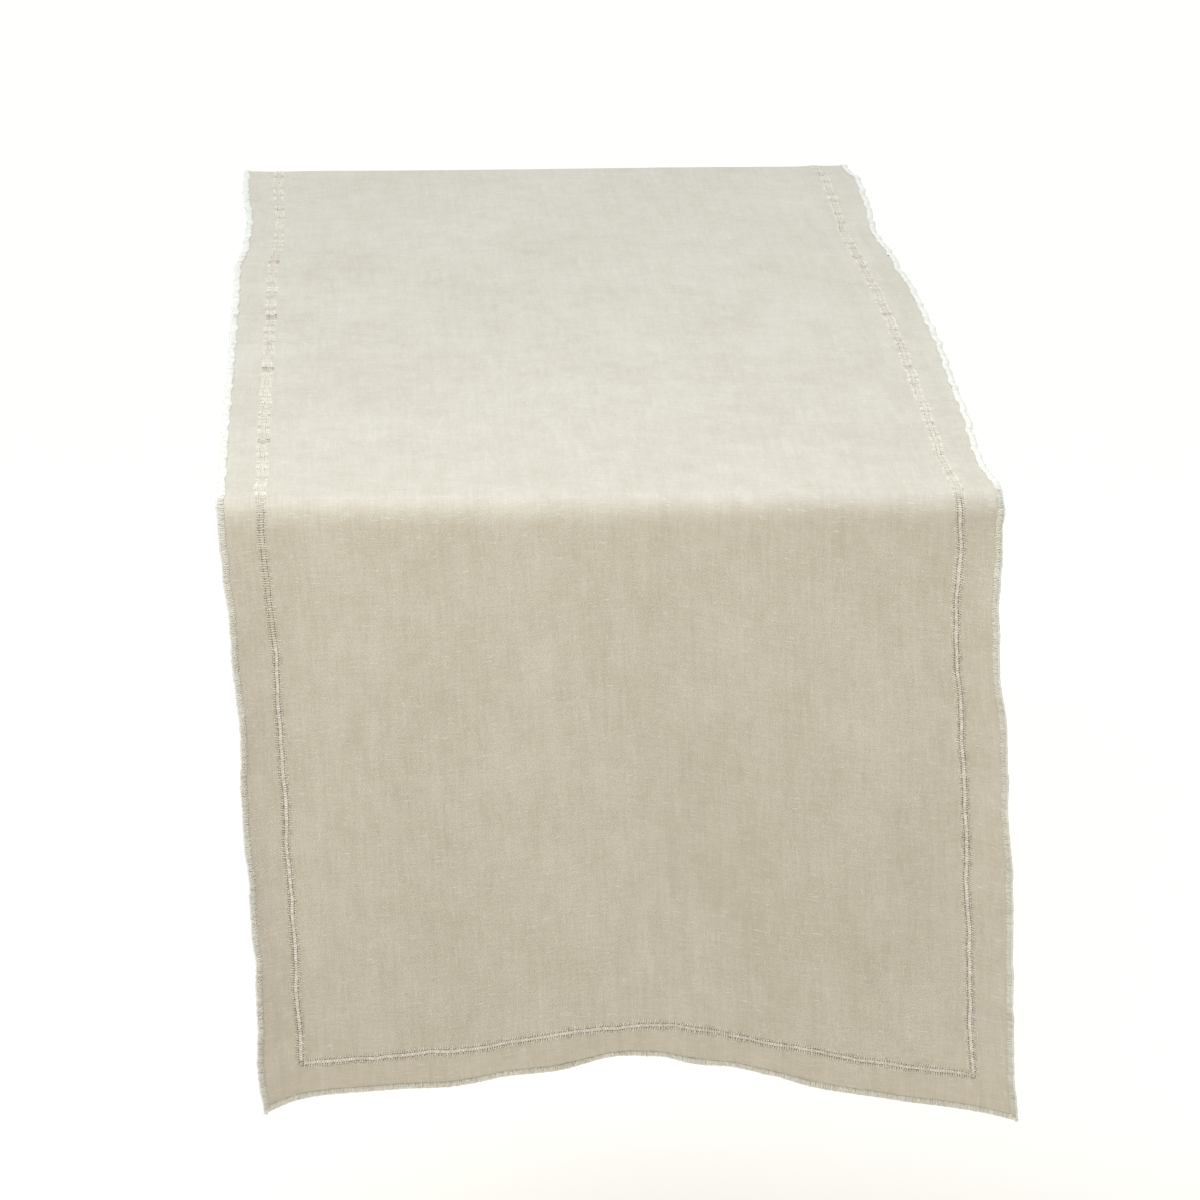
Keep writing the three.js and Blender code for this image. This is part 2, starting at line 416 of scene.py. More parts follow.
        # The side edges wander and wobble.
        wander = np.where(u < 0, eased(along, self.left_wander), eased(along, self.right_wander))
        side_run = v + self.wobble_offset * np.sign(u)
        wobble = sum(w.at(side_run) for w in EDGE_WOBBLE) * (1 - self.wobble_calm * rolled)
        x = u * (1 - of("narrowing") * rolled) + of("lean") * s
        x = x + wander * np.abs(q) ** self.wander_power + wobble * np.abs(q) ** self.wobble_power
        y = side * (np.minimum(np.abs(along), self.span_half) + radius * np.sin(turned) + out)
        z = radius * (np.cos(turned) - 1) - s
        return np.stack([x, y, z], axis=-1)

    def point(self, u: Array, v: Array) -> Array:
        """Places of flat points on the finished drape's underside."""
        height = self.relief.height(self.pattern, self.fallen(u, v), u, v)
        return self.smooth(u, v) + self.outward_of(self.smooth, u, v) * height[..., None]

    @staticmethod
    def outward_of(surface: Callable[[Array, Array], Array], u: Array, v: Array) -> Array:
        """Unit directions out of a surface at flat points."""
        step = 0.1 * MM
        across = surface(u + step, v) - surface(u - step, v)
        along = surface(u, v + step) - surface(u, v - step)
        out = np.cross(across, along)
        return out / np.linalg.norm(out, axis=-1, keepdims=True)

    def place(self, u: Array, v: Array, h: Array | float) -> Array:
        """Places of points h above the underside of the cloth."""
        u, v = np.broadcast_arrays(np.asarray(u, float), np.asarray(v, float))
        height = np.broadcast_to(np.asarray(h, float), u.shape)
        return self.point(u, v) + self.outward_of(self.point, u, v) * height[..., None]


BORDER_RIPPLES = (
    Wave(0.118, 1.1 * MM, 0.4), Wave(0.071, 0.8 * MM, 2.1),
    Wave(0.043, 0.45 * MM, 4.0), Wave(0.027, 0.22 * MM, 1.3),
)
HEM_SWELLS = (
    Wave(0.163, 0.6 * MM, 1.1), Wave(0.092, 0.5 * MM, 3.3), Wave(0.051, 0.3 * MM, 0.2),
)
# Sine of the end border's backward tilt, at stations across the cloth.
HEM_TILTS = (
    (-0.230, -0.32), (-0.156, -0.33), (-0.104, -0.30), (-0.075, -0.36), (-0.045, -0.26),
    (-0.008, -0.52), (0.012, -0.48), (0.033, -0.24), (0.058, -0.43), (0.075, -0.38),
    (0.098, -0.18), (0.138, -0.20), (0.170, -0.30), (0.230, -0.40),
)
EDGE_WOBBLE = (Wave(0.037, 0.45 * MM, 1.1), Wave(0.021, 0.30 * MM, 4.0), Wave(0.013, 0.16 * MM, 2.2))
ROW_WANDER = (
    Wave(0.071, 0.40 * MM, 0.9), Wave(0.041, 0.26 * MM, 3.6), Wave(0.019, 0.13 * MM, 1.4),
)
WRINKLES = (
    # Small folds near the front right corner.
    Wrinkle((0.100, -0.640), (0.172, -0.660), 1.4 * MM, 2.2 * MM),
    Wrinkle((0.128, -0.716), (0.158, -0.742), 1.8 * MM, 3.0 * MM),
    Wrinkle((0.112, -0.668), (0.140, -0.718), 1.6 * MM, 2.6 * MM),
    Wrinkle((0.150, -0.668), (0.168, -0.712), 1.2 * MM, 2.4 * MM),
    Wrinkle((0.092, -0.650), (0.108, -0.700), -1.3 * MM, 2.8 * MM),
    Wrinkle((0.150, -0.722), (0.172, -0.735), -0.8 * MM, 2.5 * MM),
    Wrinkle((0.140, -0.735), (0.170, -0.728), 0.7 * MM, 2.2 * MM),
    Wrinkle((0.070, -0.690), (0.120, -0.712), 1.1 * MM, 3.0 * MM),
    # Crosswise creases that run in from the left edge on the table top.
    Wrinkle((-0.215, 0.130), (-0.115, 0.124), 2.4 * MM, 2.6 * MM),
    Wrinkle((-0.215, 0.030), (-0.140, 0.033), 1.8 * MM, 2.4 * MM),
    Wrinkle((-0.215, -0.024), (-0.120, -0.020), 2.2 * MM, 2.6 * MM),
    Wrinkle((-0.215, -0.090), (-0.105, -0.086), 2.4 * MM, 2.4 * MM),
    Wrinkle((-0.215, -0.152), (-0.130, -0.150), 1.7 * MM, 2.8 * MM),
    Wrinkle((-0.215, -0.318), (-0.120, -0.322), 2.0 * MM, 2.6 * MM),
    Wrinkle((-0.215, -0.352), (-0.140, -0.350), 1.5 * MM, 2.4 * MM),
    # Lengthwise ripples beside the right border, towards the back.
    Wrinkle((0.168, 0.410), (0.176, 0.190), 1.7 * MM, 3.2 * MM),
    Wrinkle((0.152, 0.330), (0.166, 0.080), 1.1 * MM, 3.4 * MM),
    Wrinkle((0.190, 0.250), (0.186, 0.020), 1.5 * MM, 3.0 * MM),
    # Broad soft folds in the lower half of the front drop.
    Wrinkle((0.060, -0.560), (0.020, -0.750), -2.6 * MM, 24.0 * MM),
    Wrinkle((-0.140, -0.520), (-0.110, -0.750), 1.8 * MM, 26.0 * MM),
    Wrinkle((0.150, -0.500), (0.120, -0.740), 1.6 * MM, 22.0 * MM),
)
CREASES = ((0.142, 1.2 * MM), (0.165, -0.7 * MM), (-0.26, 0.5 * MM))
ROW_PUCKERS = (
    Wave(0.0131, 0.16 * MM, 0.7), Wave(0.0087, 0.09 * MM, 2.9), Wave(0.0219, 0.26 * MM, 5.1),
)
BROAD_UNEVENNESS = (
    (Wave(0.31, 1.0, 0.5), Wave(0.27, 0.9 * MM, 1.2)),
    (Wave(0.143, 1.0, 2.2), Wave(0.171, 0.45 * MM, 4.4)),
    (Wave(0.067, 1.0, 3.9), Wave(0.089, 0.22 * MM, 0.3)),
    (Wave(0.037, 1.0, 1.9), Wave(0.043, 0.10 * MM, 2.6)),
)


# -------------------------------------------------------------------- node trees in code


def pick(sockets: Any, key: int | str) -> bpy.types.NodeSocket:
    """A node's socket by number, identifier or name.

    Args:
        sockets: the node's inputs or outputs.
        key: which one; a name means the first such socket that is in use.

    Returns:
        The socket.
    """
    if isinstance(key, int):
        return sockets[key]
    for socket in sockets:
        if socket.identifier == key:
            return socket
    for socket in sockets:
        if socket.name == key and socket.enabled:
            return socket
    raise KeyError(key)


class Value:
    """What one output socket gives. Python's operators on it add Math nodes."""

    def __init__(self, graph: "Graph", socket: bpy.types.NodeSocket) -> None:
        """Wraps a socket of a graph."""
        self.graph = graph
        self.socket = socket

    def math(self, operation: str, *others: "Value | float") -> "Value":
        """A Math node on this value and others, in that order."""
        return self.graph.math(operation, self, *others)

    def __add__(self, other: "Value | float") -> "Value":
        """Sum."""
        return self.math("ADD", other)

    def __radd__(self, other: float) -> "Value":
        """Sum, number first."""
        return self.math("ADD", other)

    def __sub__(self, other: "Value | float") -> "Value":
        """Difference."""
        return self.math("SUBTRACT", other)

    def __rsub__(self, other: float) -> "Value":
        """Difference, number first."""
        return self.graph.math("SUBTRACT", other, self)

    def __mul__(self, other: "Value | float") -> "Value":
        """Product."""
        return self.math("MULTIPLY", other)

    def __rmul__(self, other: float) -> "Value":
        """Product, number first."""
        return self.math("MULTIPLY", other)

    def __truediv__(self, other: "Value | float") -> "Value":
        """Quotient."""
        return self.math("DIVIDE", other)

    def __rtruediv__(self, other: float) -> "Value":
        """Quotient, number first."""
        return self.graph.math("DIVIDE", other, self)

    def sine(self) -> "Value":
        """Sine of an angle in radians."""
        return self.math("SINE")

    def rise(self, low: float, high: float) -> "Value":
        """0 below low, 1 above high, smooth between."""
        node = self.graph.add(
            "ShaderNodeMapRange", {"interpolation_type": "SMOOTHSTEP"},
            {"Value": self, "From Min": low, "From Max": high},
        )
        return node["Result"]


class Node:
    """A node whose outputs are read by name or number."""

    def __init__(self, graph: "Graph", node: bpy.types.Node) -> None:
        """Wraps a node of a graph."""
        self.graph = graph
        self.node = node

    def __getitem__(self, key: int | str) -> Value:
        """One of the node's outputs."""
        return Value(self.graph, pick(self.node.outputs, key))


class Graph:
    """A shader or geometry node tree that is built by calls."""

    def __init__(self, tree: bpy.types.NodeTree) -> None:
        """Starts on an empty tree."""
        self.tree = tree

    def add(self, kind: str, settings: dict[str, Any] | None = None,
            inputs: dict[int | str, Any] | None = None) -> Node:
        """Adds any node.

        Args:
            kind: the node's type, such as ShaderNodeTexNoise.
            settings: its own settings, by name.
            inputs: a value, or a Value to link, for each socket by name or number.

        Returns:
            The new node.
        """
        node = self.tree.nodes.new(kind)
        for name, setting in (settings or {}).items():
            setattr(node, name, setting)
        for key, value in (inputs or {}).items():
            socket = pick(node.inputs, key)
            if isinstance(value, Value):
                self.tree.links.new(value.socket, socket)
            else:
                socket.default_value = value
        return Node(self, node)

    def math(self, operation: str, *values: Value | float) -> Value:
        """A Math node on up to three numbers."""
        inputs = dict(enumerate(values))
        return self.add("ShaderNodeMath", {"operation": operation}, inputs)["Value"]

    def vector(self, x: Value | float = 0.0, y: Value | float = 0.0, z: Value | float = 0.0) -> Value:
        """A vector from three numbers."""
        return self.add("ShaderNodeCombineXYZ", None, {"X": x, "Y": y, "Z": z})["Vector"]

    def mix(self, share: Value | float, low: Value | Colour, high: Value | Colour) -> Value:
        """A colour between two others."""
        settings = {"data_type": "RGBA"}
        inputs = {"Factor_Float": share, "A_Color": low, "B_Color": high}
        return self.add("ShaderNodeMix", settings, inputs)["Result_Color"]


def new_material(name: str) -> tuple[bpy.types.Material, Graph]:
    """An empty node material and the graph of its tree."""
    material = bpy.data.materials.new(name)
    material.use_nodes = True
    material.node_tree.nodes.clear()
    return material, Graph(material.node_tree)


def finish_material(graph: Graph, shader: Node) -> None:
    """Sends a shader to the material's output."""
    graph.add("ShaderNodeOutputMaterial", None, {"Surface": shader["BSDF"]})


# ------------------------------------------------------------------------------ finishes


@dataclass(frozen=True)
class Streak:
    """Noise drawn out along one set of threads.

    width and run are a streak's size in millimetres, seed keeps two sets from being alike,
    and weight is how far it changes the cloth's tone.
    """

    width: float
    run: float
    seed: float
    weight: float

    def noise(self, graph: Graph, across: Value, along: Value) -> Value:
        """The noise, about 0.5 on average.

        Args:
            graph: the material's graph.
            across: distance across the threads, in millimetres.
            along: distance along them, in millimetres.

        Returns:
            The noise.
        """
        place = graph.vector(across / self.width, along / self.run, self.seed)
        noise = graph.add("ShaderNodeTexNoise", {"noise_dimensions": "3D"}, {
            "Vector": place, "Scale": 1.0, "Detail": 2.0, "Roughness": 0.55,
        })
        return noise["Fac"]


@dataclass(frozen=True)
class Spot:
    """A sparse mark: the part of a streak's noise that rises from low to high."""

    streak: Streak
    low: float
    high: float

    def mask(self, graph: Graph, across: Value, along: Value) -> Value:
        """1 on the marks and 0 elsewhere."""
        return self.streak.noise(graph, across, along).rise(self.low, self.high)


@dataclass(frozen=True)
class LinenFinish:
    """Stonewashed plain-weave linen, patterned on the cloth's own UV map, which is in metres."""

    name: str = "linen_weave"
    pale: Colour = (0.675, 0.632, 0.535, 1.0)
    deep: Colour = (0.545, 0.500, 0.402, 1.0)
    slub: Colour = (0.800, 0.765, 0.670, 1.0)
    middle_tone: float = 0.46
    thread_pitch_mm: float = 0.62
    gap_weight: float = 0.15
    sheen: float = 0.22
    warp: Streak = Streak(1.0, 11.0, 1.7, 0.7)
    weft: Streak = Streak(1.0, 11.0, 8.3, 0.7)
    band: Streak = Streak(2.6, 48.0, 14.4, 0.6)
    cloud: Streak = Streak(13.0, 17.0, 41.5, 0.8)
    wash: Streak = Streak(85.0, 120.0, 57.2, 0.75)
    warp_slub: Spot = Spot(Streak(0.42, 10.0, 23.1, 0.6), 0.63, 0.69)
    weft_slub: Spot = Spot(Streak(0.42, 8.0, 31.9, 0.85), 0.62, 0.68)
    thin_place: Spot = Spot(Streak(0.5, 7.0, 77.3, -0.6), 0.67, 0.74)
    nep: Spot = Spot(Streak(1.1, 1.1, 66.6, -0.8), 0.83, 0.88)

    def material(self) -> bpy.types.Material:
        """The linen's material."""
        material, graph = new_material(self.name)
        uv = graph.add("ShaderNodeUVMap", {"uv_map": "cut"})
        parts = graph.add("ShaderNodeSeparateXYZ", None, {"Vector": uv["UV"]})
        u = parts["X"] * 1000.0
        v = parts["Y"] * 1000.0

        warp = self.warp.noise(graph, u, v)
        weft = self.weft.noise(graph, v, u)
        warp_slub = self.warp_slub.mask(graph, u, v)
        weft_slub = self.weft_slub.mask(graph, v, u)
        thin_place = self.thin_place.mask(graph, v, u)
        band = self.band.noise(graph, u, v)
        cloud = self.cloud.noise(graph, u, v)
        wash = self.wash.noise(graph, u, v)
        nep = self.nep.mask(graph, u, v)

        # The plain weave itself: where threads cross, and the small gaps between them.
        turn = math.pi / self.thread_pitch_mm
        warp_wave = (u * turn).sine()
        weft_wave = (v * turn).sine()
        weave = warp_wave * weft_wave
        gaps = (1.0 - warp_wave * warp_wave) * (1.0 - weft_wave * weft_wave)

        tone = self.middle_tone + (warp - 0.5) * self.warp.weight + (weft - 0.5) * self.weft.weight
        for noise, streak in ((band, self.band), (cloud, self.cloud), (wash, self.wash)):
            tone = tone + (noise - 0.5) * streak.weight
        for mask, spot in ((thin_place, self.thin_place), (nep, self.nep)):
            tone = tone + mask * spot.streak.weight
        # Painted shade: the small gaps between the threads are painted darker.
        tone = tone - gaps * self.gap_weight
        woven = graph.mix(tone.math("MAXIMUM", 0.0).math("MINIMUM", 1.0), self.deep, self.pale)
        warp_share = warp_slub * self.warp_slub.streak.weight
        slubs = warp_share.math("MAXIMUM", weft_slub * self.weft_slub.streak.weight)
        colour = graph.mix(slubs, woven, self.slub)

        # Slubs and neps stand up, and the gaps lie low.
        height = weave * 0.5 + gaps * -0.6 + (warp + weft) * 0.9
        height = height + (warp_slub + weft_slub) * 0.8 + nep * 1.2
        bump = graph.add("ShaderNodeBump", None, {
            "Height": height, "Strength": 0.5, "Distance": 0.00026,
        })
        shader = graph.add("ShaderNodeBsdfPrincipled", None, {
            "Base Color": colour, "Roughness": 0.92, "Normal": bump["Normal"],
            "Sheen Weight": self.sheen, "Sheen Roughness": 0.45,
            "Sheen Tint": (1.0, 0.99, 0.95, 1.0), "Specular IOR Level": 0.18,
        })
        finish_material(graph, shader)
        return material


@dataclass(frozen=True)
class ThreadFinish:
    """Spun thread, with fibres that run round it and a tint that changes stitch by stitch."""

    name: str
    pale: Colour
    deep: Colour
    roughness: float = 0.85
    sheen: float = 0.12
    fibre_scale: float = 2600.0
    patch_scale: float = 60.0
    plain_tint: float = 0.4

    def material(self) -> bpy.types.Material:
        """The thread's material."""
        material, graph = new_material(self.name)
        place = graph.add("ShaderNodeTexCoord")["Object"]
        fibre = graph.add("ShaderNodeTexNoise", {"noise_dimensions": "3D"}, {
            "Vector": place, "Scale": self.fibre_scale, "Detail": 2.0, "Roughness": 0.6,
        })
        patch = graph.add("ShaderNodeTexNoise", {"noise_dimensions": "3D"}, {
            "Vector": place, "Scale": self.patch_scale, "Detail": 2.0, "Roughness": 0.5,
        })
        tint = graph.add("ShaderNodeAttribute", {"attribute_name": "tint"})["Fac"]
        shade = graph.add("ShaderNodeAttribute", {"attribute_name": "shade"})["Fac"]
        fibres = fibre["Fac"]
        # Each part's stored shade sets its tone; parts stored at 0, the whips' link threads and the
        # edging's needle thread, are painted shade.
        tone = shade * 0.8 + (tint - self.plain_tint) * 0.35 + (fibres - 0.5) * 0.5
        tone = tone + (patch["Fac"] - 0.5) * 0.4
        colour = graph.mix(tone.math("MAXIMUM", 0.0).math("MINIMUM", 1.0), self.deep, self.pale)
        bump = graph.add("ShaderNodeBump", None, {
            "Height": fibres, "Strength": 0.4, "Distance": 0.00012,
        })
        shader = graph.add("ShaderNodeBsdfPrincipled", None, {
            "Base Color": colour, "Roughness": self.roughness, "Normal": bump["Normal"],
            "Sheen Weight": self.sheen, "Sheen Roughness": 0.4, "Specular IOR Level": 0.2,
        })
        finish_material(graph, shader)
        return material


@dataclass(frozen=True)
class PaintFinish:
    """A plain matte surface, for the floor, which may glow faintly to stay white."""

    name: str
    colour: Colour
    glow: float = 0.0

    def material(self) -> bpy.types.Material:
        """The floor's material."""
        material, graph = new_material(self.name)
        shader = graph.add("ShaderNodeBsdfPrincipled", None, {
            "Base Color": self.colour, "Roughness": 0.95, "Specular IOR Level": 0.1,
            "Emission Color": (1.0, 1.0, 1.0, 1.0), "Emission Strength": self.glow,
        })
        finish_material(graph, shader)
        return material


@dataclass(frozen=True)
class Wardrobe:
    """The runner's materials, made once."""

    linen: bpy.types.Material
    drawn: bpy.types.Material
    hemstitch: bpy.types.Material
    edging: bpy.types.Material

    @classmethod
    def make(cls) -> "Wardrobe":
        """Makes every material of the runner."""
        drawn = ThreadFinish("drawn_linen", (0.84, 0.80, 0.69, 1.0), (0.47, 0.42, 0.33, 1.0))
        # The hemstitch's deep colour is painted shade: the link threads wear it to stand for the dark
        # holes of the ladder rows.
        hemstitch = ThreadFinish(
            "hemstitch_thread", (0.86, 0.82, 0.71, 1.0), (0.24, 0.19, 0.13, 1.0),
        )
        # The edging's deep colour tones the loops and, on the needle thread, is a painted shadow.
        edging = ThreadFinish(
            "edging_thread", (0.90, 0.905, 0.84, 1.0), (0.62, 0.59, 0.50, 1.0), roughness=0.8,
        )
        return cls(LinenFinish().material(), drawn.material(), hemstitch.material(),
                   edging.material())


# ------------------------------------------------------------------------- making pieces


def mesh_object(name: str, points: Array, faces: Sequence[Sequence[int]]) -> bpy.types.Object:
    """A linked mesh object at the origin.

    Args:
        name: the piece's name.
        points: its vertices, in metres.
        faces: vertex numbers of each face, counter-clockwise from outside.

    Returns:
        The object.
    """
    mesh = bpy.data.meshes.new(name)
    mesh.from_pydata(np.asarray(points).tolist(), [], [list(f) for f in faces])
    mesh.update()
    thing = bpy.data.objects.new(name, mesh)
    bpy.context.scene.collection.objects.link(thing)
    return thing


def shade_smooth(thing: bpy.types.Object) -> None:
    """Smooth shading on every face."""
    thing.data.polygons.foreach_set("use_smooth", [True] * len(thing.data.polygons))


def hand_over(thing: bpy.types.Object, slot: str, *nodes: str) -> None:
    """Ties a finished piece to the frame: its body and the nodes it stands for."""
    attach(thing, BODY)
    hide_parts(*nodes)
    log.info("%s: %d faces, for %s", thing.name, len(thing.data.polygons), ", ".join(nodes))


@dataclass
class LinenCloth:
    """The one ply of woven linen, with a slot under each ladder row."""

    pattern: Pattern
    drape: Drape
    tuck: float = 1.1 * MM
    fine_zone: float = 60 * MM
    border_steps: int = 8
    slot_steps: int = 2
    tack_steps: int = 1
    fine_steps: int = 19
    middle_steps: int = 44
    drop_steps: int = 58
    fold_steps: int = 16
    span_steps: int = 196
    name: str = "woven_linen"

    def columns(self) -> Array:
        """The grid's u values, with one on each side of both lengthwise ladders."""
        p = self.pattern
        half = p.open_width / 2
        marks = [
            p.half_width - self.tuck, p.row_u + half, p.row_u - half,
            p.row_u - p.corner_tack, p.row_u - self.fine_zone,
        ]
        steps = [self.border_steps, self.slot_steps, self.tack_steps, self.fine_steps]
        right: list[float] = []
        for outer, inner, count in zip(marks, marks[1:], steps):
            right.extend(np.linspace(outer, inner, count, endpoint=False))
        middle = np.linspace(-marks[-1], marks[-1], self.middle_steps + 1)
        return np.concatenate([-np.array(right), middle, np.array(right)[::-1]])

    def rows(self, u: Array) -> Array:
        """The grid's v values for each column: straight at the ends, bowed at the folds."""
        p, d = self.pattern, self.drape
        half = p.open_width / 2
        marks = [
            p.half_length - self.tuck, p.row_v + half, p.row_v - half,
            p.row_v - p.corner_tack, p.row_v - self.fine_zone,
        ]
        shift = d.weft_shift(u)
        folds = [d.span_half + d.fold_run, d.span_half]
        front = [np.full_like(u, -m) for m in marks] + [-f - shift for f in folds]
        back = [f - shift for f in reversed(folds)] + [np.full_like(u, m) for m in reversed(marks)]
        lines = front + back
        steps = [
            self.border_steps, self.slot_steps, self.tack_steps, self.fine_steps,
            self.drop_steps, self.fold_steps,
        ]
        steps = steps + [self.span_steps] + steps[::-1]
        rows = [lines[0]]
        for low, high, count in zip(lines, lines[1:], steps):
            for i in range(1, count + 1):
                rows.append(low + (high - low) * (i / count))
        return np.array(rows)

    def build(self, finish: bpy.types.Material) -> bpy.types.Object:
        """Makes the cloth as one closed sheet of its real thickness.

        Args:
            finish: the linen's material.

        Returns:
            The piece.
        """
        columns = self.columns()
        v = self.rows(columns)
        u = np.broadcast_to(columns, v.shape)
        count_u = v.shape[1]
        under = self.drape.place(u, v, 0.0).reshape(-1, 3)
        over = self.drape.place(u, v, self.pattern.thickness).reshape(-1, 3)
        present = ~self.in_slot(u, v)
        faces = self.sheet_faces(present, count_u, len(under))
        points = np.concatenate([under, over])
        used = np.unique(np.concatenate([np.ravel(f) for f in faces]))
        renumber = np.full(len(points), -1)
        renumber[used] = np.arange(len(used))
        thing = mesh_object(self.name, points[used], renumber[np.array(faces)])
        flat = np.stack([u.reshape(-1), v.reshape(-1)], axis=-1)
        flat = np.concatenate([flat, flat])[used]
        self.lay_uv(thing, flat)
        thing.data.materials.append(finish)
        shade_smooth(thing)
        return thing

    def in_slot(self, u: Array, v: Array) -> Array:
        """True for each cell of the grid whose middle lies in a ladder's slot."""
        p = self.pattern
        half = p.open_width / 2
        mid_u = np.abs((u[:-1, :-1] + u[1:, 1:]) / 2)
        mid_v = np.abs((v[:-1, :-1] + v[1:, 1:]) / 2)
        side = (np.abs(mid_u - p.row_u) < half) & (mid_v < p.row_v - p.corner_tack)
        end = (np.abs(mid_v - p.row_v) < half) & (mid_u < p.row_u - p.corner_tack)
        return side | end

    @staticmethod
    def sheet_faces(present: Array, count_u: int, lift: int) -> list[list[int]]:
        """Faces of both sides of the sheet and of every cut edge.

        Args:
            present: which cells of the grid are cloth.
            count_u: how many points a row of the grid has.
            lift: how much higher a point's number is on the upper side.

        Returns:
            The faces, all of four corners.
        """
        row, col = np.nonzero(present)
        a = row * count_u + col
        b, c, d = a + 1, a + count_u + 1, a + count_u
        faces = np.concatenate([
            np.stack([d, c, b, a], axis=1),
            np.stack([a, b, c, d], axis=1) + lift,
        ]).tolist()
        padded = np.pad(present, 1)
        beside = {(0, -1): (a, d), (0, 1): (c, b), (-1, 0): (b, a), (1, 0): (d, c)}
        for (dr, dc), (first, second) in beside.items():
            open_side = ~padded[row + 1 + dr, col + 1 + dc]
            one, two = first[open_side], second[open_side]
            faces.extend(np.stack([two, one, one + lift, two + lift], axis=1).tolist())
        return faces

    @staticmethod
    def lay_uv(thing: bpy.types.Object, flat: Array) -> None:
        """Stores each point's place on the flat cloth, in metres, as the UV map "cut"."""
        layer = thing.data.uv_layers.new(name="cut")
        corners = np.empty(len(thing.data.loops), dtype=np.int64)
        thing.data.loops.foreach_get("vertex_index", corners)
        layer.data.foreach_set("uv", flat[corners].astype(np.float32).ravel())


# ------------------------------------------------------------ rows of stitches by nodes


class StitchKind(Enum):
    """What a row of repeated threads is."""

    LADDER_BAR = "ladder_bar"
    WHIP = "whip"
    OVERLOCK = "overlock"


@dataclass(frozen=True)
class StitchSizes:
    """Sizes that a stitch tree takes as named inputs, in metres."""

    pitch: float
    reach: float
    rise: float
    thread: float
    seed: int

    def as_inputs(self) -> dict[str, float | int]:
        """The tree's inputs by name."""
        return {"Pitch": self.pitch, "Reach": self.reach, "Rise": self.rise,
                "Thread": self.thread, "Seed": self.seed}


